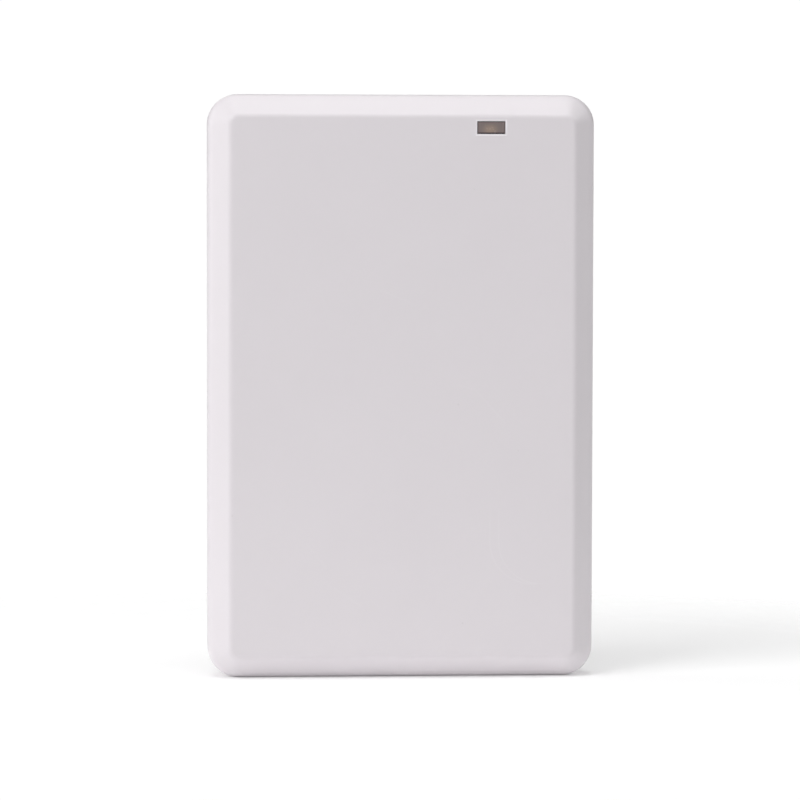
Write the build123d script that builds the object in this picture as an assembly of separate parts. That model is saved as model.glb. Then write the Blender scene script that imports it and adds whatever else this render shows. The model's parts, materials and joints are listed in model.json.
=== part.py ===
from build123d import *
import math
import os

# Flat desktop proximity-card reader, in millimetres.
#
# The reader stands on its bottom edge: X runs across its width, the scan face looks along -Y, and +Z is up.
# The origin is at the middle of the bottom of the whole reader's box.
# "Depth" always means the distance behind the scan face: the back of the case is at SHELL_DEPTH.

# Whole case
WIDTH = 70.0
HEIGHT = 105.45
SHELL_DEPTH = 12.0
FOOT_STAND_OFF = 0.6
FULL_DEPTH = SHELL_DEPTH + FOOT_STAND_OFF
SCAN_FACE_Y = -FULL_DEPTH / 2
CORNER_RADIUS = 5.4
WALL = 1.7
BACK_WALL = 2.2

# Bevelled rim round the scan face
BEVEL_INSET = 3.85
BEVEL_DEPTH = 4.1
BEVEL_ANGLE = math.atan2(BEVEL_DEPTH, BEVEL_INSET)
CREASE_RADIUS = 1.3
SHOULDER_RADIUS = 4.0
INNER_BEVEL_INSET = BEVEL_INSET - WALL + WALL * math.tan(BEVEL_ANGLE / 2)
INNER_BEVEL_DEPTH = INNER_BEVEL_INSET * math.tan(BEVEL_ANGLE)
BACK_EDGE_RADIUS = 0.9

# Joint between the two shells: the rear shell's lip sits in a rebate of the front shell
PARTING_DEPTH = 8.0
PARTING_GROOVE = 0.2
REBATE_INSET = 0.9
REBATE_HEIGHT = 1.3
LIP_CLEARANCE = 0.1

# Main board and the parts' places on it, as (x, z)
BOARD_WIDTH = 63.0
BOARD_HEIGHT = 98.0
BOARD_FRONT = 4.8
BOARD_BACK = 6.4
BOARD_CORNER = 2.5
BOARD_MIDDLE = (0.0, HEIGHT / 2)

# Screws, from the back through the board into the front shell's bosses
SCREW_X = 26.0
SCREW_EDGE = 9.5
SCREW_PLACES = [(x, z) for x in (-SCREW_X, SCREW_X) for z in (SCREW_EDGE, HEIGHT - SCREW_EDGE)]
SCREW_RADIUS = 1.0
SCREW_TIP = 1.3
SCREW_SEAT = 10.3
SCREW_HEAD_RADIUS = 1.9
SCREW_HEAD_HEIGHT = 1.3
HEAD_ROUNDING = 0.6
HEAD_RECESS_RADIUS = 2.2
CROSS_LENGTH = 2.0
CROSS_WIDTH = 0.45
CROSS_DEPTH = 0.8
BOSS_RADIUS = 2.5
COLUMN_RADIUS = 2.9
SCREW_CLEARANCE_RADIUS = 1.2
BOARD_HOLE_RADIUS = 1.3

# Pins that place the board
PIN_PLACES = [(-27.5, HEIGHT / 2), (27.5, HEIGHT / 2)]
PIN_RADIUS = 0.9
PIN_HOLE_RADIUS = 1.0
PIN_SHOULDER_RADIUS = 1.5
PIN_END = 6.9

# Indicator window, its lens and the lamp behind it
WINDOW_PLACE = (15.86, 99.48)
WINDOW_SIZE = (5.06, 2.3)
WINDOW_EDGE = 0.12
LENS_GAP = 0.09
LENS_RECESS = 0.15
FLANGE_SIZE = (6.6, 3.8)
FLANGE_THICKNESS = 0.6
PIPE_SIZE = (3.4, 1.9)
PIPE_END = 3.5
CHIMNEY_WALL = 0.8
CHIMNEY_END = 2.9
LAMP_SIZE = (3.2, 2.6)
LAMP_BASE = 0.5
LAMP_STEP = 0.2
LAMP_HEIGHT = 1.1

# Antenna: a flat winding, its tapes, leads and solder joints, all on the board's front
COIL_SIZE = (50.0, 66.0)
COIL_CORNER = 8.0
COIL_BAND = 3.2
COIL_THICKNESS = 1.0
COIL_PLACE = (0.0, 44.0)
COIL_TOP = COIL_PLACE[1] + COIL_SIZE[1] / 2
TAPE_LENGTH = 7.0
TAPE_THICKNESS = 0.15
TAPE_FLANGE = 2.5
LEAD_SPREAD = 3.0
LEAD_RADIUS = 0.2
LEAD_RUN = 5.0
SOLDER_RADIUS = 0.9
SOLDER_HEIGHT = 0.6
SOLDER_TAPER = 40

# Upright receptacle in the middle of the top edge, on the board's back
SOCKET_WIDTH = 8.94
SOCKET_THICKNESS = 3.2
SOCKET_LENGTH = 7.35
SOCKET_WALL = 0.3
SOCKET_SET_BACK = 0.2
SOCKET_DEPTH = BOARD_BACK + SOCKET_THICKNESS / 2
SOCKET_MOUTH = HEIGHT - SOCKET_SET_BACK
SOCKET_REAR = SOCKET_MOUTH - SOCKET_LENGTH
SOCKET_BLOCK = 1.6
PORT_CLEARANCE = 0.33
PORT_REACH = 6.0
PORT_OVERSHOOT = 1.0
TONGUE_WIDTH = 6.7
TONGUE_THICKNESS = 0.7
TONGUE_SET_BACK = 1.0
CONTACT_COUNT = 12
CONTACT_PITCH = 0.5
CONTACT_WIDTH = 0.25
CONTACT_LENGTH = 3.2
CONTACT_THICKNESS = 0.06
CONTACT_MARGIN = 0.3
TAB_X = (SOCKET_WIDTH - SOCKET_WALL) / 2
TAB_RISES = (1.1, 2.7)
TAB_PLACES = [(x, SOCKET_REAR + rise) for x in (-TAB_X, TAB_X) for rise in TAB_RISES]
TAB_SIZE = (SOCKET_WALL, 0.9)
TAB_HOLE_SIZE = (0.75, 1.3)
TAB_END = 4.6

# Back of the case
FOOT_RADIUS = 4.4
FOOT_RECESS = 0.4
FOOT_GAP = 0.1
FOOT_ROUNDING = 0.35
FOOT_X = 24.0
FOOT_EDGE = 21.0
FOOT_PLACES = [(x, z) for x in (-FOOT_X, FOOT_X) for z in (FOOT_EDGE, HEIGHT - FOOT_EDGE)]
LABEL_SIZE = (38.0, 26.0)
LABEL_PLACE = (0.0, 45.0)
LABEL_CORNER = 1.5
LABEL_RECESS = 0.25
LABEL_THICKNESS = 0.12
LABEL_GAP = 0.3
RIB_WIDTH = 0.8
RIB_HEIGHT = 0.8
RIB_LENGTH = 70.0
RIB_X = (-14.0, 14.0)

# Sounder and its holes in the back
BUZZER_PLACE = (-13.0, 74.0)
BUZZER_RADIUS = 4.5
BUZZER_HEIGHT = 3.0
BUZZER_ROUNDING = 0.4
BUZZER_FLOOR = 1.0
BUZZER_HOLE_RADIUS = 0.8
SOUND_HOLE_RADIUS = 0.6
SOUND_RING_RADIUS = 2.4
SOUND_HOLE_COUNT = 6

# Parts soldered on the board's back: (x, z), (width, height), thickness
CONTROLLER = ((-11.0, 88.0), (7.0, 7.0), 1.4)
READER_CHIP = ((9.0, 72.0), (3.9, 9.9), 1.5)
CRYSTAL = ((9.0, 82.5), (5.0, 3.2), 1.1)
REGULATOR = ((10.5, 93.0), (6.5, 3.5), 1.6)
INPUT_CAPACITOR = ((18.0, 90.0), (2.8, 3.5), 1.9)
FUSE = ((-4.5, 95.3), (3.2, 1.6), 0.7)
SURGE_ARRAY = ((3.0, 94.6), (2.9, 1.6), 1.1)
TRANSISTOR = ((-21.0, 78.0), (2.9, 1.3), 1.0)
INDUCTOR_PLACES = [(17.0, 76.0), (17.0, 72.5)]
INDUCTOR_SIZE = ((3.2, 2.5), 1.8)
CAPACITOR_GRID = [(x, z) for x in (16.0, 19.0, 22.0) for z in (62.0, 65.0, 68.0)]
CAPACITOR_PLACES = CAPACITOR_GRID + [(-18.0, 91.0), (-18.0, 88.0)]
CAPACITOR_SIZE = ((1.25, 2.0), 0.8)
RESISTOR_ROW = [(x, 66.0) for x in (-4.0, -1.5, 1.0, 3.5)]
RESISTOR_PLACES = RESISTOR_ROW + [(-2.0, 84.0), (0.5, 84.0), (-21.0, 84.0), (23.0, 84.0)]
RESISTOR_SIZE = ((1.25, 2.0), 0.5)

# Moulded packages, and the tinned ends of the chip parts
PACKAGE_LIFT = 0.1
PACKAGE_EDGE = 0.15
DIMPLE_RADIUS = 0.35
DIMPLE_MARGIN = 0.9
DIMPLE_DEPTH = 0.1
END_CAP = 0.4
END_STEP = 0.03
CRYSTAL_BASE = 0.45
CRYSTAL_BRIM = 0.3
CRYSTAL_CORNER = 0.7

# Gull-wing leads
LEAD_FOOT = 0.7
LEAD_SHIN = 0.25
LEAD_SHEET = 0.2
LEAD_KNEE = 0.7
LEAD_WIDTH = 0.36
TAB_LEAD_WIDTH = 3.0
LEADS_PER_SIDE = 8
CONTROLLER_PITCH = 0.8
READER_PITCH = 1.17
REGULATOR_PITCH = 2.3
SMALL_PITCH = 0.95

# Half width of the slice of depth in which edges are looked for
EDGE_TOLERANCE = 0.01


def depth_plane(depth):
    """Sketch plane at a depth: local x is X, local y is Z, and its normal looks out of the scan face."""
    return Plane(origin=(0, SCAN_FACE_Y + depth, 0), x_dir=(1, 0, 0), z_dir=(0, -1, 0))


def slab(outline, front, back):
    """Solid of a flat outline between two depths."""
    return extrude(depth_plane(back) * outline, amount=back - front)


def rectangles(places, size):
    """The same rectangle at several places."""
    return [Pos(*place) * Rectangle(*size) for place in places]


def discs(places, radius):
    """The same disc at several places."""
    return [Pos(*place) * Circle(radius) for place in places]


def slabs(outlines, front, back):
    """One slab for each outline, between the same two depths."""
    return [slab(outline, front, back) for outline in outlines]


def case_outline(inset=0.0):
    """Rounded outline of the case, drawn in all round by an inset."""
    rectangle = RectangleRounded(WIDTH - 2 * inset, HEIGHT - 2 * inset, CORNER_RADIUS - inset)
    return Pos(0, HEIGHT / 2) * rectangle


def bevelled_block(inset, front, back, bevel_inset, bevel_depth):
    """Block of the case's outline, drawn in by an inset, with a bevel all round its front."""
    block = slab(case_outline(inset), front, back)
    front_face = block.faces().sort_by(Axis.Y)[0]
    return chamfer(front_face.edges(), bevel_inset, bevel_depth, reference=front_face)


def edges_at(block, depth):
    """Edges of a block that lie at one depth."""
    y = SCAN_FACE_Y + depth
    return block.edges().filter_by_position(Axis.Y, y - EDGE_TOLERANCE, y + EDGE_TOLERANCE)


def port_prism(clearance):
    """Stadium-shaped prism through the top walls, where the receptacle looks out."""
    width = SOCKET_WIDTH + 2 * clearance
    thickness = SOCKET_THICKNESS + 2 * clearance
    outline = Pos(0, SCAN_FACE_Y + SOCKET_DEPTH) * SlotOverall(width, thickness)
    start = HEIGHT - PORT_REACH
    return Pos(0, 0, start) * extrude(outline, amount=PORT_REACH + PORT_OVERSHOOT)


def front_shell():
    """Deep front moulding: scan face, bevelled rim, side walls, bosses, board pins and lens chimney."""
    shell = bevelled_block(0, 0, PARTING_DEPTH, BEVEL_INSET, BEVEL_DEPTH)
    shell = fillet(edges_at(shell, 0), CREASE_RADIUS)
    shell = fillet(edges_at(shell, BEVEL_DEPTH), SHOULDER_RADIUS)
    shell = chamfer(edges_at(shell, PARTING_DEPTH), PARTING_GROOVE)
    shell -= bevelled_block(WALL, WALL, PARTING_DEPTH, INNER_BEVEL_INSET, INNER_BEVEL_DEPTH)
    shell -= slab(case_outline(REBATE_INSET), PARTING_DEPTH - REBATE_HEIGHT, PARTING_DEPTH)
    shell += slabs(discs(SCREW_PLACES, BOSS_RADIUS), WALL, BOARD_FRONT)
    shell += slabs(discs(PIN_PLACES, PIN_SHOULDER_RADIUS), WALL, BOARD_FRONT)
    shell += slabs(discs(PIN_PLACES, PIN_RADIUS), WALL, PIN_END)
    ribs = rectangles([(x, HEIGHT / 2) for x in RIB_X], (RIB_WIDTH, RIB_LENGTH))
    shell += slabs(ribs, WALL, WALL + RIB_HEIGHT)
    shell += slab(chimney_outline(), WALL, CHIMNEY_END)
    shell -= slab(flange_pocket(), WALL, CHIMNEY_END)
    shell -= slabs(discs(SCREW_PLACES, SCREW_RADIUS), SCREW_TIP, BOARD_FRONT)
    shell -= window_cut()
    return shell - port_prism(PORT_CLEARANCE)


def flange_pocket():
    """Outline of the pocket that takes the lens's flange inside the front shell."""
    return Pos(*WINDOW_PLACE) * Rectangle(*[side + 2 * LENS_GAP for side in FLANGE_SIZE])


def chimney_outline():
    """Outline of the short wall round that pocket."""
    margin = LENS_GAP + CHIMNEY_WALL
    return Pos(*WINDOW_PLACE) * Rectangle(*[side + 2 * margin for side in FLANGE_SIZE])


def window_cut():
    """Opening of the indicator window, its outer edge broken by a small chamfer."""
    opening = Pos(*WINDOW_PLACE) * Rectangle(*WINDOW_SIZE)
    mouth = depth_plane(WINDOW_EDGE) * opening
    wide = [side + 2 * WINDOW_EDGE for side in WINDOW_SIZE]
    rim = depth_plane(0) * (Pos(*WINDOW_PLACE) * Rectangle(*wide))
    return slab(opening, 0, WALL) + loft([mouth.face(), rim.face()])


def rear_shell():
    """Shallow back moulding: lip, screw columns, foot and label recesses, and sound holes."""
    shell = slab(case_outline(), PARTING_DEPTH, SHELL_DEPTH)
    shell = fillet(edges_at(shell, SHELL_DEPTH), BACK_EDGE_RADIUS)
    shell = chamfer(edges_at(shell, PARTING_DEPTH), PARTING_GROOVE)
    back_inside = SHELL_DEPTH - BACK_WALL
    shell -= slab(case_outline(WALL), PARTING_DEPTH, back_inside)
    lip = case_outline(REBATE_INSET + LIP_CLEARANCE) - case_outline(WALL)
    shell += slab(lip, PARTING_DEPTH - REBATE_HEIGHT + LIP_CLEARANCE, PARTING_DEPTH + PARTING_GROOVE)
    shell += slabs(discs(SCREW_PLACES, COLUMN_RADIUS), BOARD_BACK, back_inside)
    shell -= slabs(discs(SCREW_PLACES, SCREW_CLEARANCE_RADIUS), BOARD_BACK, SHELL_DEPTH)
    shell -= slabs(discs(SCREW_PLACES, HEAD_RECESS_RADIUS), SCREW_SEAT, SHELL_DEPTH)
    shell -= slabs(discs(FOOT_PLACES, FOOT_RADIUS + FOOT_GAP), SHELL_DEPTH - FOOT_RECESS, SHELL_DEPTH)
    recess_size = [side + 2 * LABEL_GAP for side in LABEL_SIZE]
    recess = Pos(*LABEL_PLACE) * RectangleRounded(*recess_size, LABEL_CORNER + LABEL_GAP)
    shell -= slab(recess, SHELL_DEPTH - LABEL_RECESS, SHELL_DEPTH)
    shell -= slabs(discs(sound_hole_places(), SOUND_HOLE_RADIUS), back_inside, SHELL_DEPTH)
    return shell - port_prism(PORT_CLEARANCE)


def sound_hole_places():
    """A ring of holes round one in the middle, over the buzzer."""
    x, z = BUZZER_PLACE
    ring = []
    for step in range(SOUND_HOLE_COUNT):
        angle = 2 * math.pi * step / SOUND_HOLE_COUNT
        ring.append((x + SOUND_RING_RADIUS * math.cos(angle), z + SOUND_RING_RADIUS * math.sin(angle)))
    return [BUZZER_PLACE] + ring


def indicator_lens():
    """Smoked light pipe in the window, held from inside by its flange."""
    stem_size = [side - 2 * LENS_GAP for side in WINDOW_SIZE]
    stem = slab(Pos(*WINDOW_PLACE) * Rectangle(*stem_size), LENS_RECESS, WALL)
    flange = slab(Pos(*WINDOW_PLACE) * Rectangle(*FLANGE_SIZE), WALL, WALL + FLANGE_THICKNESS)
    pipe = slab(Pos(*WINDOW_PLACE) * Rectangle(*PIPE_SIZE), WALL, PIPE_END)
    return stem + flange + pipe


def status_led():
    """Two-colour lamp on the board's front, behind the lens: a ceramic base and a slimmer resin block."""
    base = slab(Pos(*WINDOW_PLACE) * Rectangle(*LAMP_SIZE), BOARD_FRONT - LAMP_BASE, BOARD_FRONT)
    resin_size = [side - 2 * LAMP_STEP for side in LAMP_SIZE]
    resin = Pos(*WINDOW_PLACE) * Rectangle(*resin_size)
    return base + slab(resin, BOARD_FRONT - LAMP_HEIGHT, BOARD_FRONT - LAMP_BASE)


def main_board():
    """Printed circuit board with its screw, pin and receptacle holes."""
    outline = Pos(*BOARD_MIDDLE) * RectangleRounded(BOARD_WIDTH, BOARD_HEIGHT, BOARD_CORNER)
    outline -= discs(SCREW_PLACES, BOARD_HOLE_RADIUS)
    outline -= discs(PIN_PLACES, PIN_HOLE_RADIUS)
    outline -= rectangles(TAB_PLACES, TAB_HOLE_SIZE)
    return slab(outline, BOARD_FRONT, BOARD_BACK)


def antenna_coil():
    """Flat wound antenna: a rounded rectangular band of bonded wire."""
    width, height = COIL_SIZE
    band = RectangleRounded(width, height, COIL_CORNER)
    band -= RectangleRounded(width - 2 * COIL_BAND, height - 2 * COIL_BAND, COIL_CORNER - COIL_BAND)
    return slab(Pos(*COIL_PLACE) * band, BOARD_FRONT - COIL_THICKNESS, BOARD_FRONT)


def tape_bridge(upright):
    """Strip of tape over the coil's band, its ends flat on the board; upright ones cross the short sides."""
    across = COIL_BAND + 2 * TAPE_THICKNESS
    full = across + 2 * TAPE_FLANGE
    sizes = [(TAPE_LENGTH, across), (TAPE_LENGTH, full), (TAPE_LENGTH, COIL_BAND)]
    if not upright:
        sizes = [(height, width) for width, height in sizes]
    hump, flat, band = [Rectangle(*size) for size in sizes]
    bridge = slab(hump, BOARD_FRONT - COIL_THICKNESS - TAPE_THICKNESS, BOARD_FRONT)
    bridge += slab(flat, BOARD_FRONT - TAPE_THICKNESS, BOARD_FRONT)
    return bridge - slab(band, BOARD_FRONT - COIL_THICKNESS, BOARD_FRONT)


def coil_tapes():
    """Four strips of tape that hold the coil down, one in the middle of each side."""
    x, z = COIL_PLACE
    side = (COIL_SIZE[0] - COIL_BAND) / 2
    end = (COIL_SIZE[1] - COIL_BAND) / 2
    strips = [Pos(x, 0, z + shift) * tape_bridge(True) for shift in (-end, end)]
    strips += [Pos(x + shift, 0, z) * tape_bridge(False) for shift in (-side, side)]
    return strips


def coil_leads():
    """Two ends of the coil's wire, running up the board to their solder joints."""
    y = SCAN_FACE_Y + BOARD_FRONT - LEAD_RADIUS
    return [Pos(x, y, COIL_TOP) * extrude(Circle(LEAD_RADIUS), amount=LEAD_RUN) for x in lead_columns()]


def lead_columns():
    """X of the two leads: both stand clear of the tape in the middle."""
    shift = TAPE_LENGTH / 2 + LEAD_SPREAD
    return (-shift, shift)


def coil_solder():
    """Solder cones where the leads end."""
    z = COIL_TOP + LEAD_RUN + SOLDER_RADIUS
    foot = depth_plane(BOARD_FRONT)
    cones = []
    for x in lead_columns():
        base = foot * (Pos(x, z) * Circle(SOLDER_RADIUS))
        cones.append(extrude(base, amount=SOLDER_HEIGHT, taper=SOLDER_TAPER))
    return cones


def moulded_package(place, size, thickness):
    """Chip package on the board's back, with its back edges broken."""
    body = slab(Pos(*place) * Rectangle(*size), BOARD_BACK + PACKAGE_LIFT, BOARD_BACK + thickness)
    back = body.faces().sort_by(Axis.Y)[-1]
    return chamfer(back.edges(), PACKAGE_EDGE)


def marked_package(place, size, thickness):
    """Chip package with a shallow dimple at its first lead."""
    x = place[0] - size[0] / 2 + DIMPLE_MARGIN
    z = place[1] + size[1] / 2 - DIMPLE_MARGIN
    back = BOARD_BACK + thickness
    dimple = slab(Pos(x, z) * Circle(DIMPLE_RADIUS), back - DIMPLE_DEPTH, back)
    return moulded_package(place, size, thickness) - dimple


def crystal():
    """Metal can of the crystal: a brim and a narrower lid with round corners."""
    place, (width, height), thickness = CRYSTAL
    brim = slab(Pos(*place) * Rectangle(width, height), BOARD_BACK, BOARD_BACK + CRYSTAL_BASE)
    lid = RectangleRounded(width - 2 * CRYSTAL_BRIM, height - 2 * CRYSTAL_BRIM, CRYSTAL_CORNER)
    return brim + slab(Pos(*place) * lid, BOARD_BACK + CRYSTAL_BASE, BOARD_BACK + thickness)


def chip_body(place, size, thickness):
    """Body of a chip part between its tinned ends, a little slimmer than they are."""
    width, height = size
    if height > width:
        outline = Rectangle(width - 2 * END_STEP, height - 2 * END_CAP)
    else:
        outline = Rectangle(width - 2 * END_CAP, height - 2 * END_STEP)
    return slab(Pos(*place) * outline, BOARD_BACK + END_STEP, BOARD_BACK + thickness - END_STEP)


def chip_ends(place, size, thickness):
    """Two tinned ends of a chip part, at the ends of its longer side."""
    x, z = place
    width, height = size
    if height > width:
        shift = (height - END_CAP) / 2
        outlines = rectangles([(x, z - shift), (x, z + shift)], (width, END_CAP))
    else:
        shift = (width - END_CAP) / 2
        outlines = rectangles([(x - shift, z), (x + shift, z)], (END_CAP, height))
    return slabs(outlines, BOARD_BACK, BOARD_BACK + thickness)


def gull_lead(place, outward, width):
    """One bent lead: knee at the package's side, shin, and foot; outward is its (x, z) direction."""
    x, z = place
    across, up = outward

    def plate(start, length, front, back):
        middle = start + length / 2
        size = (abs(across) * length + abs(up) * width, abs(up) * length + abs(across) * width)
        return slab(Pos(x + across * middle, z + up * middle) * Rectangle(*size), front, back)

    shin = LEAD_SHIN - LEAD_SHEET / 2
    lead = plate(0, LEAD_SHIN, BOARD_BACK + LEAD_KNEE - LEAD_SHEET, BOARD_BACK + LEAD_KNEE)
    lead += plate(shin, LEAD_SHEET, BOARD_BACK, BOARD_BACK + LEAD_KNEE)
    return lead + plate(shin, LEAD_FOOT, BOARD_BACK, BOARD_BACK + LEAD_SHEET)


def lead_row(package, outward, count, pitch, width=LEAD_WIDTH):
    """A straight row of leads along one side of a package, the side that outward points to."""
    (x, z), size, _ = package
    across, up = outward
    leads = []
    for step in range(count):
        shift = (step - (count - 1) / 2) * pitch
        place = (x + across * size[0] / 2 + abs(up) * shift, z + up * size[1] / 2 + abs(across) * shift)
        leads.append(gull_lead(place, outward, width))
    return leads


def controller_leads():
    """Leads on all four sides of the controller."""
    sides = [(-1, 0), (1, 0), (0, -1), (0, 1)]
    return sum([lead_row(CONTROLLER, side, LEADS_PER_SIDE, CONTROLLER_PITCH) for side in sides], [])


def reader_leads():
    """Leads on the two long sides of the reader chip."""
    sides = [(-1, 0), (1, 0)]
    return sum([lead_row(READER_CHIP, side, LEADS_PER_SIDE, READER_PITCH) for side in sides], [])


def regulator_leads():
    """Three leads below the regulator, and its wide tab above."""
    leads = lead_row(REGULATOR, (0, -1), 3, REGULATOR_PITCH)
    return leads + lead_row(REGULATOR, (0, 1), 1, REGULATOR_PITCH, TAB_LEAD_WIDTH)


def surge_array_leads():
    """Three leads on each long side of the surge array."""
    return lead_row(SURGE_ARRAY, (0, -1), 3, SMALL_PITCH) + lead_row(SURGE_ARRAY, (0, 1), 3, SMALL_PITCH)


def transistor_leads():
    """Two leads below the transistor and one above."""
    return lead_row(TRANSISTOR, (0, -1), 2, 2 * SMALL_PITCH) + lead_row(TRANSISTOR, (0, 1), 1, SMALL_PITCH)


def buzzer():
    """Round sounder with a hole in the middle of its lid."""
    outline = Pos(*BUZZER_PLACE) * Circle(BUZZER_RADIUS)
    can = slab(outline, BOARD_BACK, BOARD_BACK + BUZZER_HEIGHT)
    can = fillet(edges_at(can, BOARD_BACK + BUZZER_HEIGHT), BUZZER_ROUNDING)
    hole = Pos(*BUZZER_PLACE) * Circle(BUZZER_HOLE_RADIUS)
    return can - slab(hole, BOARD_BACK + BUZZER_FLOOR, BOARD_BACK + BUZZER_HEIGHT)


def socket_shell():
    """Drawn metal sleeve of the receptacle, with its four board tabs."""
    middle = (0, SCAN_FACE_Y + SOCKET_DEPTH)
    outer = SlotOverall(SOCKET_WIDTH, SOCKET_THICKNESS)
    inner = SlotOverall(SOCKET_WIDTH - 2 * SOCKET_WALL, SOCKET_THICKNESS - 2 * SOCKET_WALL)
    sleeve = Pos(0, 0, SOCKET_REAR) * extrude(Pos(*middle) * (outer - inner), amount=SOCKET_LENGTH)
    # The tabs grow out of the sleeve's rounded sides, where its wall is.
    tabs = slabs(rectangles(TAB_PLACES, TAB_SIZE), TAB_END, SOCKET_DEPTH)
    return sleeve + tabs


def socket_tongue():
    """Insulator of the receptacle: a block at its rear and the tongue in its mouth."""
    middle = (0, SCAN_FACE_Y + SOCKET_DEPTH)
    block = SlotOverall(SOCKET_WIDTH - 2 * SOCKET_WALL, SOCKET_THICKNESS - 2 * SOCKET_WALL)
    tongue = Rectangle(TONGUE_WIDTH, TONGUE_THICKNESS)
    length = SOCKET_LENGTH - TONGUE_SET_BACK
    solid = extrude(Pos(*middle) * block, amount=SOCKET_BLOCK)
    solid += extrude(Pos(*middle) * tongue, amount=length)
    return Pos(0, 0, SOCKET_REAR) * solid


def socket_contacts():
    """Contact strips on both faces of the tongue."""
    start = SOCKET_MOUTH - TONGUE_SET_BACK - CONTACT_LENGTH - CONTACT_MARGIN
    strips = []
    for side in (-1, 1):
        y = SCAN_FACE_Y + SOCKET_DEPTH + side * (TONGUE_THICKNESS + CONTACT_THICKNESS) / 2
        for step in range(CONTACT_COUNT):
            x = (step - (CONTACT_COUNT - 1) / 2) * CONTACT_PITCH
            strip = extrude(Rectangle(CONTACT_WIDTH, CONTACT_THICKNESS), amount=CONTACT_LENGTH)
            strips.append(Pos(x, y, start) * strip)
    return strips


def rubber_foot(place):
    """Soft round foot, glued in its recess in the back."""
    foot = slab(Pos(*place) * Circle(FOOT_RADIUS), SHELL_DEPTH - FOOT_RECESS, FULL_DEPTH)
    return fillet(edges_at(foot, FULL_DEPTH), FOOT_ROUNDING)


def case_screw(place):
    """Self-tapping screw with a domed head and a cross recess."""
    top = SCREW_SEAT + SCREW_HEAD_HEIGHT
    head = slab(Pos(*place) * Circle(SCREW_HEAD_RADIUS), SCREW_SEAT, top)
    head = fillet(edges_at(head, top), HEAD_ROUNDING)
    cross = Rectangle(CROSS_LENGTH, CROSS_WIDTH) + Rectangle(CROSS_WIDTH, CROSS_LENGTH)
    head -= slab(Pos(*place) * cross, top - CROSS_DEPTH, top)
    return head + slab(Pos(*place) * Circle(SCREW_RADIUS), SCREW_TIP, SCREW_SEAT)


def rating_label():
    """Blank sticker in the recess of the back."""
    outline = Pos(*LABEL_PLACE) * RectangleRounded(*LABEL_SIZE, LABEL_CORNER)
    back = SHELL_DEPTH - LABEL_RECESS
    return slab(outline, back, back + LABEL_THICKNESS)


def group(shapes):
    """Separate solids of one node."""
    return Compound([shape.solid() for shape in shapes])


def chip_parts():
    """Chip parts with tinned ends, as (place, size, thickness), by node name."""
    return {
        "input_capacitor": [INPUT_CAPACITOR],
        "usb_fuse": [FUSE],
        "filter_inductors": [(place, *INDUCTOR_SIZE) for place in INDUCTOR_PLACES],
        "chip_capacitors": [(place, *CAPACITOR_SIZE) for place in CAPACITOR_PLACES],
        "chip_resistors": [(place, *RESISTOR_SIZE) for place in RESISTOR_PLACES],
    }


def soldered_parts():
    """Every package and chip part on the board's back, with its leads or ends, by node name."""
    parts = {
        "controller_chip": marked_package(*CONTROLLER),
        "controller_leads": group(controller_leads()),
        "reader_chip": marked_package(*READER_CHIP),
        "reader_leads": group(reader_leads()),
        "voltage_regulator": moulded_package(*REGULATOR),
        "regulator_leads": group(regulator_leads()),
        "surge_array": moulded_package(*SURGE_ARRAY),
        "surge_array_leads": group(surge_array_leads()),
        "buzzer_transistor": moulded_package(*TRANSISTOR),
        "transistor_leads": group(transistor_leads()),
        "crystal": crystal(),
        "buzzer": buzzer(),
    }
    ends = []
    for name, chips in chip_parts().items():
        parts[name] = group(chip_body(*chip) for chip in chips)
        ends += sum([chip_ends(*chip) for chip in chips], [])
    parts["chip_ends"] = group(ends)
    return parts


def all_parts():
    """Every node of the reader, by name."""
    parts = {
        "front_shell": front_shell(),
        "rear_shell": rear_shell(),
        "indicator_lens": indicator_lens(),
        "status_led": status_led(),
        "main_board": main_board(),
        "antenna_coil": antenna_coil(),
        "coil_tapes": group(coil_tapes()),
        "coil_leads": group(coil_leads()),
        "coil_solder": group(coil_solder()),
        "socket_shell": socket_shell(),
        "socket_tongue": socket_tongue(),
        "socket_contacts": group(socket_contacts()),
        "case_screws": group(case_screw(place) for place in SCREW_PLACES),
        "rating_label": rating_label(),
    }
    for number, place in enumerate(FOOT_PLACES, start=1):
        parts[f"rubber_foot_{number}"] = rubber_foot(place)
    return parts | soldered_parts()


os.makedirs("parts", exist_ok=True)
for name, part in all_parts().items():
    export_step(part, f"parts/{name}.step")
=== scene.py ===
import json
import math
import random

import bpy
from mathutils import Matrix, Vector


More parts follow.
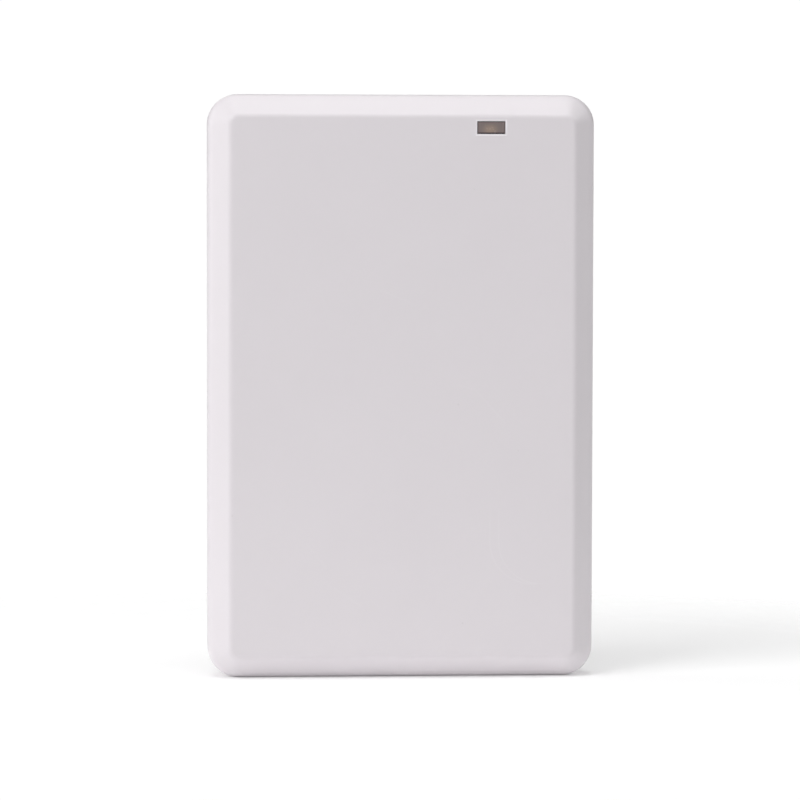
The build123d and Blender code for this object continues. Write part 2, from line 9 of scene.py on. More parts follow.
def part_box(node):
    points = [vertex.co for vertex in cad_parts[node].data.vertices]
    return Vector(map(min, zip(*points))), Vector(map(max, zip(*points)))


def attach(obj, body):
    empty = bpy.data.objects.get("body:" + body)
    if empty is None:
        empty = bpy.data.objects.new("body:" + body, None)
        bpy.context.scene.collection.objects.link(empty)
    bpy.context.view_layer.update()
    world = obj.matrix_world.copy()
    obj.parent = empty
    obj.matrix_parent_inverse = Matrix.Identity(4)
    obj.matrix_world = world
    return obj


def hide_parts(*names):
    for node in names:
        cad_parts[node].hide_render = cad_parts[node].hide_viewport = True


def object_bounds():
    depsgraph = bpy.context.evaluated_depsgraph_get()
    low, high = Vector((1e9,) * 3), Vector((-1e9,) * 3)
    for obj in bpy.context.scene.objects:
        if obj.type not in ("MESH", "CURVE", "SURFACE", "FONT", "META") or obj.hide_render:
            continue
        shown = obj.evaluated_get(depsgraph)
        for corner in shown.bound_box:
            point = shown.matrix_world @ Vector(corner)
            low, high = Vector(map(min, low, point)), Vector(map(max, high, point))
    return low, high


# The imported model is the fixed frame: metres, -Y out of the scan face, +Z up, standing on z = 0.
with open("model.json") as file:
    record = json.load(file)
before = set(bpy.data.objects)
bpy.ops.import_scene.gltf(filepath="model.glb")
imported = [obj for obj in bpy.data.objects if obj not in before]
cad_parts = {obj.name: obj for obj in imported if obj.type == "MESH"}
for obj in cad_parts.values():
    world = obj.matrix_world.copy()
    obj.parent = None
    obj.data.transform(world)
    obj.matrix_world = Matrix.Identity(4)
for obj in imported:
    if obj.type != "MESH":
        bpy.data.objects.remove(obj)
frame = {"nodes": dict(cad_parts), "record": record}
NODES = frame["nodes"]
CAD_LOW, CAD_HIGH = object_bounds()
SCAN_FACE_Y = CAD_LOW.y
MM = 0.001

# Camera: a long lens, a little to the left of the middle and a little above it
CAMERA_LENS = 180.0
CAMERA_SENSOR = 36.0
CAMERA_AIM = Vector((-0.00052, SCAN_FACE_Y, 0.05052))
CAMERA_DISTANCE = 0.720
CAMERA_LEFT = math.radians(4.02)
CAMERA_ABOVE = math.radians(3.15)
CAMERA_ROLL = math.radians(0.112)

# Softboxes, all square and aimed at the reader's middle: azimuth (0 in front, positive to the
# right) and elevation in degrees, then watts
SOFTBOX_SIDE = 0.70
SOFTBOX_DISTANCE = 1.10
SOFTBOX_AIM = Vector((0, 0, 0.05))
SOFTBOXES = {
    "key": (-50, 40, 4.8),
    "key_low": (-50, 16, 1.7),
    "left_rear": (-110, 16, 2.9),
    "right": (90, 35, 2.9),
    "front_top": (0, 60, 2.2),
    "top": (0, 85, 3.3),
    "rear_top": (180, 65, 1.8),
}
# The backdrop that the camera sees, and the light of the surroundings below and above the horizon
BACKDROP_WHITE = 1.02
LOW_SKY = 0.99
HIGH_SKY = 0.0
HORIZON_BAND = (-0.02, 0.04)

# Floor: white, softly lit from below like a light table by its own glow, with the glow left out under and
# beside the reader as a painted contact shadow, and fading into the backdrop
FLOOR_HALF = 0.30
FLOOR_WHITE = 0.9
FLOOR_GLOW = 0.19
FLOOR_PAINTED_SHADOW_EDGE = (-7 * MM, -3 * MM)
FLOOR_FADE = (0.09, 0.18)

# Shell: colour, the painted highlight round its indicator window, and the small marks of use on its scan
# face, as (x, z) in metres
SHELL_COLOUR = (0.80, 0.76, 0.79)
BEVEL_DEPTH = 4.1 * MM
TOOL_MARK_PITCH = 0.8 * MM
WINDOW_HALF = (2.53 * MM, 1.15 * MM)
WINDOW_HIGHLIGHT_WIDTH = 0.36 * MM
CORNER_SCUFFS = [(0.0250, 0.0248), (0.0234, 0.0248)]
CORNER_SCUFF_RADIUS = 7.6 * MM
SCRATCHES = [
    ((0.0103, 0.0532), (0.0131, 0.0523)),
    ((0.0131, 0.0523), (0.0161, 0.0490)),
    ((0.0161, 0.0490), (0.0185, 0.0463)),
    ((-0.0173, 0.0246), (-0.0137, 0.0201)),
    ((-0.0123, 0.0165), (-0.0077, 0.0134)),
    ((-0.0132, 0.0069), (-0.0119, 0.0069)),
    ((-0.0041, 0.0703), (0.0013, 0.0680)),
    ((-0.0268, 0.0955), (-0.0265, 0.0951)),
]
DARK_SPECKS = [(0.0100, 0.0497), (0.0109, 0.0101), (-0.0307, 0.0297)]


class Look:
    """A procedural material under construction; place is the point on the object, in metres."""

    def __init__(self, name, **sockets):
        self.material = bpy.data.materials.new(name)
        self.material.use_nodes = True
        self.tree = self.material.node_tree
        self.shader = self.tree.nodes["Principled BSDF"]
        self.place = self.add("ShaderNodeTexCoord").outputs["Object"]
        for socket, value in sockets.items():
            self.shader.inputs[socket.replace("_", " ").title().replace("Ior", "IOR")].default_value = value

    def add(self, kind, inputs=None, **settings):
        """A new node; each input takes a number, a tuple or another node's output."""
        node = self.tree.nodes.new(kind)
        for setting, value in settings.items():
            setattr(node, setting, value)
        for socket, value in (inputs or {}).items():
            self.feed(node.inputs[socket], value)
        return node

    def feed(self, socket, value):
        """Link an output to a socket, or set the socket's own value."""
        if isinstance(value, bpy.types.NodeSocket):
            self.tree.links.new(value, socket)
        else:
            socket.default_value = value

    def math(self, operation, first, second=0.0):
        return self.add("ShaderNodeMath", {0: first, 1: second}, operation=operation).outputs[0]

    def hypotenuse(self, first, second):
        """Length of the diagonal of two distances at right angles."""
        squares = self.math("ADD", self.math("POWER", first, 2.0), self.math("POWER", second, 2.0))
        return self.math("SQRT", squares)

    def vector(self, operation, first, second=(0, 0, 0)):
        node = self.add("ShaderNodeVectorMath", {0: first, 1: second}, operation=operation)
        return node.outputs["Value" if operation in ("LENGTH", "DOT_PRODUCT") else "Vector"]

    def scaled(self, vector, factor):
        return self.add("ShaderNodeVectorMath", {0: vector, 3: factor}, operation="SCALE").outputs["Vector"]

    def axis(self, name, vector=None):
        """One coordinate of a vector, the place by default."""
        parts = self.add("ShaderNodeSeparateXYZ", {0: self.place if vector is None else vector})
        return parts.outputs[name]

    def wave(self, value, pitch):
        """A sine wave of a value, from -1 to 1."""
        return self.math("SINE", self.math("MULTIPLY", value, 2 * math.pi / pitch))

    def rise(self, value, low, high):
        """0 below low, 1 above high, and smooth between them."""
        inputs = {"Value": value, "From Min": low, "From Max": high}
        return self.add("ShaderNodeMapRange", inputs, interpolation_type="SMOOTHSTEP").outputs["Result"]

    def fall(self, value, low, high):
        """1 below low, 0 above high, and smooth between them."""
        return self.math("SUBTRACT", 1.0, self.rise(value, low, high))

    def spread(self, value, low, high):
        """A value from 0 to 1 spread over another range."""
        inputs = {"Value": value, "To Min": low, "To Max": high}
        return self.add("ShaderNodeMapRange", inputs).outputs["Result"]

    def noise(self, feature, detail=2.0, stretch=(1, 1, 1)):
        """Noise whose features are about this many metres across, longer along an axis by its stretch."""
        scale = tuple(1.0 / (feature * factor) for factor in stretch)
        place = self.vector("MULTIPLY", self.place, scale)
        return self.add("ShaderNodeTexNoise", {"Vector": place, "Scale": 1.0, "Detail": detail}).outputs[0]

    def specks(self, spacing, radius):
        """1 in small round specks, one in each cell of this spacing."""
        place = self.scaled(self.place, 1.0 / spacing)
        cells = self.add("ShaderNodeTexVoronoi", {"Vector": place, "Scale": 1.0})
        return self.fall(cells.outputs["Distance"], radius / spacing, 2 * radius / spacing)

    def blend(self, factor, first, second):
        """Colour between two colours."""
        inputs = {0: factor, 6: colour4(first), 7: colour4(second)}
        return self.add("ShaderNodeMix", inputs, data_type="RGBA").outputs[2]

    def colour(self, value):
        self.feed(self.shader.inputs["Base Color"], colour4(value))

    def roughness(self, value):
        self.feed(self.shader.inputs["Roughness"], value)

    def bump(self, height, distance):
        """Raise the surface by up to this distance where height is 1, on top of any earlier bump."""
        inputs = {"Height": height, "Distance": distance, "Strength": 1.0}
        normal = self.shader.inputs["Normal"]
        if normal.is_linked:
            inputs["Normal"] = normal.links[0].from_socket
        self.feed(normal, self.add("ShaderNodeBump", inputs).outputs["Normal"])

    def distance_xz(self, middle):
        """Distance from a point of the face, seen along Y."""
        return self.vector("LENGTH", self.from_xz(middle))

    def from_xz(self, middle):
        flat = self.vector("MULTIPLY", self.place, (1, 0, 1))
        return self.vector("SUBTRACT", flat, (middle[0], 0, middle[1]))

    def outside_rectangle(self, middle, half):
        """How far a point is outside an upright rectangle of the face, and less than 0 inside it."""
        across = self.math("ABSOLUTE", self.math("SUBTRACT", self.axis("X"), middle[0]))
        up = self.math("ABSOLUTE", self.math("SUBTRACT", self.axis("Z"), middle[1]))
        across = self.math("SUBTRACT", across, half[0])
        up = self.math("SUBTRACT", up, half[1])
        return self.math("MAXIMUM", across, up)


def colour4(value):
    """A colour with its fourth number; an output passes through."""
    return value if isinstance(value, bpy.types.NodeSocket) else (*value, 1.0)


def shade(colour, factor):
    """A colour made lighter or darker."""
    return tuple(channel * factor for channel in colour)


def middle_of(node):
    """Middle of a CAD node's box."""
    low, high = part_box(node)
    return (low + high) / 2


# ---------------------------------------------------------------- materials of the case


def scratch(look, start, end):
    """1 along a fine straight scratch of the scan face."""
    along = Vector((end[0] - start[0], 0, end[1] - start[1]))
    offset = look.from_xz(start)
    share = look.math("DIVIDE", look.vector("DOT_PRODUCT", offset, tuple(along)), along.length_squared)
    share = look.add("ShaderNodeClamp", {"Value": share}).outputs[0]
    nearest = look.scaled(tuple(along), share)
    distance = look.vector("LENGTH", look.vector("SUBTRACT", offset, nearest))
    return look.fall(distance, 0.06 * MM, 0.16 * MM)


def corner_scuff(look, centre):
    """1 along a fine rounded L, as the corner of a case that slid over the face leaves it."""
    left = look.math("MAXIMUM", look.math("SUBTRACT", centre[0], look.axis("X")), 0.0)
    down = look.math("MAXIMUM", look.math("SUBTRACT", centre[1], look.axis("Z")), 0.0)
    gap = look.math("ABSOLUTE", look.math("SUBTRACT", look.hypotenuse(left, down), CORNER_SCUFF_RADIUS))
    upper_end = look.fall(look.axis("Z"), 0.028, 0.033)
    right_end = look.fall(look.axis("X"), 0.023, 0.029)
    line = look.fall(gap, 0.06 * MM, 0.18 * MM)
    return look.math("MULTIPLY", line, look.math("MULTIPLY", upper_end, right_end))


def marks_of_use(look):
    """Faint scuffs and scratches of the scan face."""
    marks = 0.0
    for centre in CORNER_SCUFFS:
        marks = look.math("MAXIMUM", marks, corner_scuff(look, centre))
    for start, end in SCRATCHES:
        marks = look.math("MAXIMUM", marks, look.math("MULTIPLY", scratch(look, start, end), 0.7))
    return look.math("MULTIPLY", marks, on_scan_face(look))


def dark_specks(look):
    """Small dark specks of dirt on the scan face."""
    specks = 0.0
    for middle in DARK_SPECKS:
        specks = look.math("MAXIMUM", specks, look.fall(look.distance_xz(middle), 0.08 * MM, 0.25 * MM))
    return look.math("MULTIPLY", specks, on_scan_face(look))


def on_scan_face(look):
    """1 on the flat scan face and 0 behind it."""
    return look.math("LESS_THAN", look.axis("Y"), SCAN_FACE_Y + 0.1 * MM)


def window_painted_highlight(look):
    """1 in a thin band beside the indicator window, fading away from it: a painted highlight round the
    window's edge.
    """
    window = middle_of("indicator_lens")
    outside = look.outside_rectangle((window.x, window.z), WINDOW_HALF)
    return look.math("MULTIPLY", look.fall(outside, 0.6 * WINDOW_HIGHLIGHT_WIDTH, WINDOW_HIGHLIGHT_WIDTH), on_scan_face(look))


def tool_marks(look):
    """Lines left by the mould's cutter: contours of equal depth on the bevelled rim."""
    depth = look.math("SUBTRACT", look.axis("Y"), SCAN_FACE_Y)
    wobble = look.math("MULTIPLY", look.noise(6 * MM), 0.25 * TOOL_MARK_PITCH)
    wave = look.wave(look.math("ADD", depth, wobble), TOOL_MARK_PITCH)
    beyond_face = look.rise(depth, 0.1 * MM, 0.6 * MM)
    before_side = look.fall(depth, BEVEL_DEPTH, 1.4 * BEVEL_DEPTH)
    return look.math("MULTIPLY", wave, look.math("MULTIPLY", beyond_face, before_side))


def shell_look(name="shell_front", grain_height=1.5e-6, with_face=True):
    """White satin ABS: fine moulded grain, uneven gloss, a few specks and, on the front, marks of use and a
    painted highlight round the indicator window.
    """
    look = Look(name)
    cloud = look.noise(22 * MM, detail=3.0)
    base = look.blend(cloud, shade(SHELL_COLOUR, 0.985), shade(SHELL_COLOUR, 1.015))
    base = look.blend(look.math("MULTIPLY", look.specks(9 * MM, 0.06 * MM), 0.25), base, (0.45, 0.42, 0.42))
    rough = look.spread(look.noise(3 * MM, detail=4.0), 0.36, 0.46)
    if with_face:
        marks = marks_of_use(look)
        base = look.blend(look.math("MULTIPLY", marks, 0.085), base, (0.96, 0.94, 0.96))
        base = look.blend(look.math("MULTIPLY", dark_specks(look), 0.10), base, (0.30, 0.28, 0.28))
        # Painted highlight: the shell is made paler in a thin band round the indicator window.
        base = look.blend(window_painted_highlight(look), base, (0.95, 0.91, 0.945))
        rough = look.math("ADD", rough, look.math("MULTIPLY", marks, 0.10))
        look.bump(marks, -0.8e-6)
        look.bump(tool_marks(look), 0.8e-6)
    look.bump(look.noise(0.22 * MM, detail=2.0), grain_height)
    look.bump(look.noise(9 * MM, detail=1.0), 6.0e-6)
    look.colour(base)
    look.roughness(rough)
    return look.material


def lens_look():
    """Smoked clear plastic: greyish, warm where the lamp is behind it, with painted shade at its edges,
    deepest along its bottom.
    """
    look = Look("lens_smoke", coat_weight=0.6, coat_roughness=0.12)
    window = middle_of("indicator_lens")
    offset = look.from_xz((window.x - 0.2 * MM, window.z - 0.35 * MM))
    offset = look.vector("MULTIPLY", offset, (1 / WINDOW_HALF[0], 0, 0.6 / WINDOW_HALF[1]))
    glow = look.fall(look.vector("LENGTH", offset), 0.0, 0.75)
    glow = look.math("MULTIPLY", glow, look.spread(look.noise(0.5 * MM), 0.9, 1.1))
    smoke = look.blend(glow, (0.218, 0.172, 0.166), (0.335, 0.255, 0.205))
    # Painted shade: the lens is darkened in a thin band inside its edges, and more along its bottom edge.
    outside = look.outside_rectangle((window.x, window.z), WINDOW_HALF)
    edge = look.math("MULTIPLY", look.rise(outside, -0.30 * MM, -0.10 * MM), 0.55)
    above_sill = look.math("SUBTRACT", look.axis("Z"), window.z - WINDOW_HALF[1])
    sill_painted_shade = look.fall(above_sill, 0.15 * MM, 0.42 * MM)
    look.colour(look.blend(look.math("MAXIMUM", edge, sill_painted_shade), smoke, (0.050, 0.038, 0.042)))
    look.roughness(look.spread(look.noise(1.2 * MM, detail=4.0), 0.18, 0.34))
    look.bump(look.noise(0.3 * MM), 0.6e-6)
    return look.material


def rubber_look():
    """Black elastomer: dull, finely pitted, with pale dust."""
    look = Look("foot_rubber")
    dust = look.rise(look.noise(1.6 * MM, detail=6.0), 0.52, 0.80)
    look.colour(look.blend(look.math("MULTIPLY", dust, 0.35), (0.030, 0.030, 0.032), (0.30, 0.29, 0.28)))
    look.roughness(look.spread(dust, 0.62, 0.85))
    look.bump(look.noise(0.15 * MM, detail=3.0), 9.0e-6)
    return look.material


def screw_look():
    """Zinc-plated steel, turned: fine rings round each head, and slightly clouded plating."""
    look = Look("screw_steel", metallic=1.0)
    low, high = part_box("case_screws")
    head_radius = 1.9 * MM
    ring_pitch = 0.12 * MM
    middle = (low + high) / 2
    across = look.math("SUBTRACT", look.math("ABSOLUTE", look.axis("X")), high.x - head_radius)
    height = look.math("ABSOLUTE", look.math("SUBTRACT", look.axis("Z"), middle.z))
    up = look.math("SUBTRACT", height, high.z - head_radius - middle.z)
    rings = look.wave(look.hypotenuse(across, up), ring_pitch)
    cloud = look.noise(0.8 * MM, detail=5.0)
    look.colour(look.blend(cloud, (0.50, 0.50, 0.52), (0.68, 0.68, 0.67)))
    look.roughness(look.spread(cloud, 0.26, 0.44))
    look.bump(rings, 0.8e-6)
    return look.material


def label_look():
    """Blank satin sticker with one thin printed frame and a faint paper grain."""
    look = Look("label_paper")
    low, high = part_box("rating_label")
    half = (high - low) / 2
    margin = 1.6 * MM
    inside = look.outside_rectangle((0.0, (low.z + high.z) / 2), (half.x - margin, half.z - margin))
    line = look.fall(look.math("ABSOLUTE", inside), 0.11 * MM, 0.15 * MM)
    fibre = look.noise(0.35 * MM, detail=5.0, stretch=(3, 1, 1))
    paper = look.blend(fibre, (0.76, 0.76, 0.74), (0.84, 0.84, 0.83))
    look.colour(look.blend(line, paper, (0.16, 0.16, 0.17)))
    look.roughness(look.spread(fibre, 0.42, 0.56))
    look.bump(fibre, 3.0e-6)
    return look.material


# ---------------------------------------------------------------- materials inside the case


def board_look():
    """Green solder mask over copper traces, with tinned vias and pale laminate at the edges."""
    look = Look("board_green", coat_weight=0.3, coat_roughness=0.2)
    low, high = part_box("main_board")
    patch = 7 * MM
    trace_pitch = 0.7 * MM
    upright_share = 0.4
    traced_share = 0.75
    place = look.scaled(look.place, 1 / patch)
    patches = look.add("ShaderNodeTexVoronoi", {"Vector": place, "Scale": 1.0}, distance="CHEBYCHEV")
    kind = look.axis("X", patches.outputs["Color"])
    upright = look.rise(look.wave(look.axis("X"), trace_pitch), 0.1, 0.4)
    level = look.rise(look.wave(look.axis("Z"), trace_pitch), 0.1, 0.4)
    is_upright = look.math("LESS_THAN", kind, upright_share)
    is_level = look.math("SUBTRACT", look.math("LESS_THAN", kind, traced_share), is_upright)
    upright = look.math("MULTIPLY", upright, is_upright)
    level = look.math("MULTIPLY", level, is_level)
    copper = look.math("ADD", upright, level)
    base = look.blend(copper, (0.010, 0.090, 0.032), (0.022, 0.170, 0.060))
    vias = look.specks(4.5 * MM, 0.22 * MM)
    base = look.blend(vias, base, (0.62, 0.60, 0.52))
    from_front = look.math("SUBTRACT", look.axis("Y"), low.y)
    from_back = look.math("SUBTRACT", high.y, look.axis("Y"))
    inside = look.math("GREATER_THAN", look.math("MINIMUM", from_front, from_back), 0.04 * MM)
    look.colour(look.blend(inside, base, (0.42, 0.36, 0.20)))
    look.roughness(look.spread(look.noise(2 * MM, detail=4.0), 0.28, 0.42))
    look.bump(copper, 12.0e-6)
    look.bump(look.noise(0.5 * MM, stretch=(1, 1, 4)), 2.0e-6)
    return look.material


def copper_look():
    """Enamelled copper wire: warm metal under clear varnish."""
    look = Look("copper_wire", metallic=1.0, coat_weight=0.7, coat_roughness=0.08)
    tone = look.noise(1.4 * MM, detail=4.0)
    look.colour(look.blend(tone, (0.52, 0.20, 0.07), (0.74, 0.36, 0.15)))
    look.roughness(look.spread(tone, 0.22, 0.38))
    return look.material


def tape_look():
    """Amber polyimide tape, glossy, with fine wrinkles."""
    look = Look("tape", coat_weight=0.8, coat_roughness=0.06)
    tone = look.noise(2.5 * MM, detail=3.0)
    look.colour(look.blend(tone, (0.50, 0.24, 0.025), (0.66, 0.36, 0.06)))
    look.roughness(look.spread(tone, 0.16, 0.30))
    look.bump(look.noise(0.9 * MM, stretch=(4, 1, 1)), 14.0e-6)
    return look.material


def metal_look(name, low, high, roughness, feature, stretch):
    """Bare metal whose tone and gloss wander, with fine lines where the mottling is drawn out."""
    look = Look(name, metallic=1.0)
    tone = look.noise(feature, detail=5.0, stretch=(1, 1, stretch))
    look.colour(look.blend(tone, low, high))
    look.roughness(look.spread(tone, roughness - 0.09, roughness + 0.09))
    look.bump(tone, 2.5e-6)
    return look.material


def moulded_look(name, low, high, roughness):
    """Dull moulded or fired body: fine grain, and a tone that wanders a little."""
    look = Look(name)
    tone = look.noise(0.6 * MM, detail=6.0)
    look.colour(look.blend(tone, low, high))
    look.roughness(look.spread(tone, roughness - 0.06, roughness + 0.08))
    look.bump(look.noise(0.08 * MM, detail=3.0), 3.0e-6)
    return look.material


def lamp_look():
    """Pale ceramic base and a yellow resin front."""
    look = Look("lamp", coat_weight=0.4, coat_roughness=0.15)
    low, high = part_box("status_led")
    resin = look.fall(look.axis("Y"), low.y + 0.55 * MM, low.y + 0.60 * MM)
    lens = middle_of("status_led")
    disc = look.fall(look.distance_xz((lens.x, lens.z)), 0.95 * MM, 1.0 * MM)
    pale = look.blend(look.noise(0.3 * MM), (0.80, 0.77, 0.70), (0.88, 0.86, 0.80))
    look.colour(look.blend(look.math("MULTIPLY", resin, disc), pale, (0.86, 0.62, 0.12)))
    look.roughness(look.spread(look.noise(0.4 * MM), 0.25, 0.4))
    return look.material


def tantalum_look():
    """Yellow moulded case with a brown band at its upper, positive end."""
    look = Look("tantalum_yellow")
    low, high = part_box("input_capacitor")
    band = look.rise(look.axis("Z"), high.z - 0.75 * MM, high.z - 0.70 * MM)
    tone = look.blend(look.noise(0.5 * MM, detail=5.0), (0.72, 0.42, 0.05), (0.84, 0.54, 0.10))
    look.colour(look.blend(band, tone, (0.22, 0.09, 0.02)))
    look.roughness(look.spread(look.noise(0.3 * MM), 0.45, 0.60))
    look.bump(look.noise(0.08 * MM), 3.0e-6)
    return look.material


# Moulded and fired bodies: (darker, lighter, roughness)
MOULDED = {
    "chip_black": ((0.010, 0.010, 0.011), (0.022, 0.022, 0.024), 0.58),
    "buzzer_black": ((0.014, 0.014, 0.014), (0.026, 0.026, 0.026), 0.46),
    "capacitor_tan": ((0.36, 0.22, 0.11), (0.50, 0.33, 0.18), 0.42),
    "resistor_black": ((0.016, 0.016, 0.018), (0.030, 0.030, 0.034), 0.30),
    "fuse_green": ((0.03, 0.10, 0.045), (0.06, 0.17, 0.08), 0.44),
    "ferrite": ((0.030, 0.030, 0.033), (0.060, 0.060, 0.065), 0.62),
    "tongue_black": ((0.014, 0.014, 0.015), (0.024, 0.024, 0.026), 0.50),
}
# Bare metals: (darker, lighter, roughness, size of the mottling, how far it is drawn out along Z)
METALS = {
    "solder": ((0.58, 0.59, 0.60), (0.76, 0.77, 0.78), 0.32, 0.4 * MM, 1),
    "can_metal": ((0.60, 0.60, 0.60), (0.74, 0.74, 0.73), 0.28, 0.12 * MM, 20),
    "contact_gold": ((0.72, 0.46, 0.16), (0.86, 0.60, 0.26), 0.22, 0.1 * MM, 12),
}
SPECIAL = {
    "shell_white": shell_look,
    "lens_smoke": lens_look,
    "lamp": lamp_look,
    "foot_rubber": rubber_look,
    "screw_steel": screw_look,
    "label_paper": label_look,
    "board_green": board_look,
    "copper_wire": copper_look,
    "tape": tape_look,
    "tantalum_yellow": tantalum_look,
}


def slot_material(slot):
    """Material of one of the record's slots."""
    if slot in MOULDED:
        return moulded_look(slot, *MOULDED[slot])
    if slot in METALS:
        return metal_look(slot, *METALS[slot])
    return SPECIAL[slot]()


def dress_nodes():
    """Give every CAD node the material of its slot; the rear shell gets a coarser grain than the front."""
    slots = {part["node"]: part["material_slot"] for part in frame["record"]["subparts"]}
    made = {slot: slot_material(slot) for slot in sorted(set(slots.values()))}
    rear = shell_look("shell_rear", grain_height=2.4e-6, with_face=False)
    for name, node in NODES.items():
        material = rear if name == "rear_shell" else made[slots[name]]
        node.data.materials.clear()
        node.data.materials.append(material)
    return made


# ---------------------------------------------------------------- the antenna's winding

WIRE_RADIUS = 0.1 * MM
COIL_CORNER = 8.0 * MM
COIL_BAND = 3.2 * MM
CORNER_STEPS = 8
WIRE_SIDES = 8
WIRE_WANDER = 0.008 * MM


def loop_path(half_width, half_height, corner):
    """Points of a rounded rectangle about (0, 0), each with its outward direction."""
    points = []
    for quarter in range(4):
        side_x = 1 if quarter in (0, 3) else -1
        side_z = 1 if quarter in (0, 1) else -1
        centre = Vector((side_x * (half_width - corner), side_z * (half_height - corner)))
        for step in range(CORNER_STEPS + 1):
            angle = math.pi / 2 * (quarter + step / CORNER_STEPS)
            outward = Vector((math.cos(angle), math.sin(angle)))
            points.append((centre + outward * corner, outward))
    return points


def add_wire_loop(vertices, faces, points, middle, y):
    """One closed turn of round wire along a path."""
    first = len(vertices)
    count = len(points)
    for point, outward in points:
        for side in range(WIRE_SIDES):
            angle = 2 * math.pi * side / WIRE_SIDES
            spot = point + outward * WIRE_RADIUS * math.cos(angle)
            vertices.append((middle.x + spot.x, y + WIRE_RADIUS * math.sin(angle), middle.z + spot.y))
    for step in range(count):
        here = first + step * WIRE_SIDES
        there = first + (step + 1) % count * WIRE_SIDES
        for side in range(WIRE_SIDES):
            after = (side + 1) % WIRE_SIDES
            faces.append((here + side, here + after, there + after, there + side))


def make_winding(material):
    """The visible turns of the antenna: its front layer and the two edges of the layers behind it."""
    low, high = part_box("antenna_coil")
    middle = (low + high) / 2
    half = (high - low) / 2
    columns = round(COIL_BAND / (2 * WIRE_RADIUS))
    layers = round((high.y - low.y) / (2 * WIRE_RADIUS))
    wander = random.Random(7)
    vertices, faces = [], []
    for layer in range(layers):
        for column in range(columns):
            if layer > 0 and 0 < column < columns - 1:
                continue
            inset = WIRE_RADIUS * (2 * column + 1) + wander.uniform(0, WIRE_WANDER)
            y = low.y + WIRE_RADIUS * (2 * layer + 1)
            points = loop_path(half.x - inset, half.z - inset, COIL_CORNER - inset)
            add_wire_loop(vertices, faces, points, middle, y)
    mesh = bpy.data.meshes.new("coil_winding")
    mesh.from_pydata(vertices, [], faces)
    mesh.polygons.foreach_set("use_smooth", [True] * len(mesh.polygons))
    mesh.materials.append(material)
    winding = bpy.data.objects.new("coil_winding", mesh)
    bpy.context.scene.collection.objects.link(winding)
    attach(winding, "root")
    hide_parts("antenna_coil")


# ---------------------------------------------------------------- studio


def make_camera():
    """Camera in front of the scan face, a little to its left and above its middle."""
    back = Vector(
        (
            -math.sin(CAMERA_LEFT) * math.cos(CAMERA_ABOVE),
            -math.cos(CAMERA_LEFT) * math.cos(CAMERA_ABOVE),
            math.sin(CAMERA_ABOVE),
        )
    )
    data = bpy.data.cameras.new("camera")
    data.lens = CAMERA_LENS
    data.sensor_width = CAMERA_SENSOR
    data.clip_start = 0.01
    data.clip_end = 20.0
    camera = bpy.data.objects.new("camera", data)
    turn = (-back).to_track_quat("-Z", "Y").to_matrix().to_4x4()
    roll = Matrix.Rotation(CAMERA_ROLL, 4, "Z")
    camera.matrix_world = Matrix.Translation(CAMERA_AIM + back * CAMERA_DISTANCE) @ turn @ roll
    bpy.context.scene.collection.objects.link(camera)
    bpy.context.scene.camera = camera


def floor_look():
    """White floor that glows a little, less beside the reader as a painted contact shadow, and fades away
    into the backdrop.
    """
    look = Look("floor", roughness=1.0, specular_ior_level=0.0)
    look.colour((FLOOR_WHITE, FLOOR_WHITE, FLOOR_WHITE))
    across = look.math("SUBTRACT", look.math("ABSOLUTE", look.axis("X")), CAD_HIGH.x)
    deep = look.math("SUBTRACT", look.math("ABSOLUTE", look.axis("Y")), CAD_HIGH.y)
    # Painted contact shadow: no glow under the reader, rising to full glow 3 mm inside the edge of its box.
    glow_outside_painted_shadow = look.rise(look.math("MAXIMUM", across, deep), *FLOOR_PAINTED_SHADOW_EDGE)
    look.feed(look.shader.inputs["Emission Color"], (1, 1, 1, 1))
    look.feed(look.shader.inputs["Emission Strength"], look.math("MULTIPLY", glow_outside_painted_shadow, FLOOR_GLOW))
    look.feed(look.shader.inputs["Alpha"], look.fall(look.vector("LENGTH", look.place), *FLOOR_FADE))
    return look.material


def make_floor():
    """Plain pale floor under the reader."""
    mesh = bpy.data.meshes.new("floor")
    corners = [(x * FLOOR_HALF, y * FLOOR_HALF, 0) for x, y in ((-1, -1), (1, -1), (1, 1), (-1, 1))]
    mesh.from_pydata(corners, [], [(0, 1, 2, 3)])
    mesh.materials.append(floor_look())
    floor = bpy.data.objects.new("floor", mesh)
    bpy.context.scene.collection.objects.link(floor)


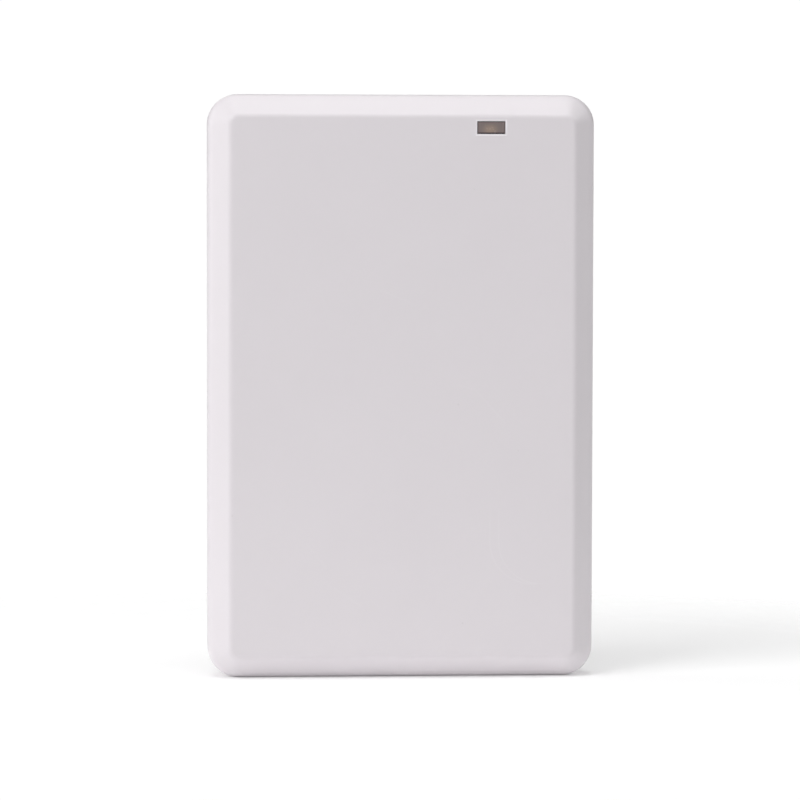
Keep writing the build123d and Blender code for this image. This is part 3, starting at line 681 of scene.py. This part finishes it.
def make_softboxes():
    """Large square lamps round the reader."""
    for name, (azimuth, elevation, watts) in SOFTBOXES.items():
        turn = math.radians(azimuth)
        tilt = math.radians(elevation)
        out = Vector((math.sin(turn) * math.cos(tilt), -math.cos(turn) * math.cos(tilt), math.sin(tilt)))
        data = bpy.data.lights.new(name, "AREA")
        data.shape = "SQUARE"
        data.size = SOFTBOX_SIDE
        data.energy = watts
        lamp = bpy.data.objects.new(name, data)
        aim = (-out).to_track_quat("-Z", "Y").to_matrix().to_4x4()
        lamp.matrix_world = Matrix.Translation(SOFTBOX_AIM + out * SOFTBOX_DISTANCE) @ aim
        bpy.context.scene.collection.objects.link(lamp)


def make_backdrop():
    """White surroundings: the camera sees plain white, and the light from them is stronger low down."""
    world = bpy.data.worlds.new("studio")
    world.use_nodes = True
    tree = world.node_tree
    seen = tree.nodes["Background"]
    seen.inputs["Color"].default_value = (1, 1, 1, 1)
    seen.inputs["Strength"].default_value = BACKDROP_WHITE
    place = tree.nodes.new("ShaderNodeTexCoord")
    parts = tree.nodes.new("ShaderNodeSeparateXYZ")
    level = tree.nodes.new("ShaderNodeMapRange")
    level.interpolation_type = "SMOOTHSTEP"
    level.inputs["From Min"].default_value, level.inputs["From Max"].default_value = HORIZON_BAND
    level.inputs["To Min"].default_value = LOW_SKY
    level.inputs["To Max"].default_value = HIGH_SKY
    light = tree.nodes.new("ShaderNodeBackground")
    ray = tree.nodes.new("ShaderNodeLightPath")
    either = tree.nodes.new("ShaderNodeMixShader")
    tree.links.new(place.outputs["Generated"], parts.inputs[0])
    tree.links.new(parts.outputs["Z"], level.inputs["Value"])
    tree.links.new(level.outputs["Result"], light.inputs["Strength"])
    tree.links.new(ray.outputs["Is Camera Ray"], either.inputs[0])
    tree.links.new(light.outputs[0], either.inputs[1])
    tree.links.new(seen.outputs[0], either.inputs[2])
    tree.links.new(either.outputs[0], tree.nodes["World Output"].inputs["Surface"])
    bpy.context.scene.world = world
    bpy.context.scene.view_settings.view_transform = "Standard"


make_camera()
make_backdrop()
make_softboxes()
make_floor()
materials = dress_nodes()
make_winding(materials["copper_wire"])
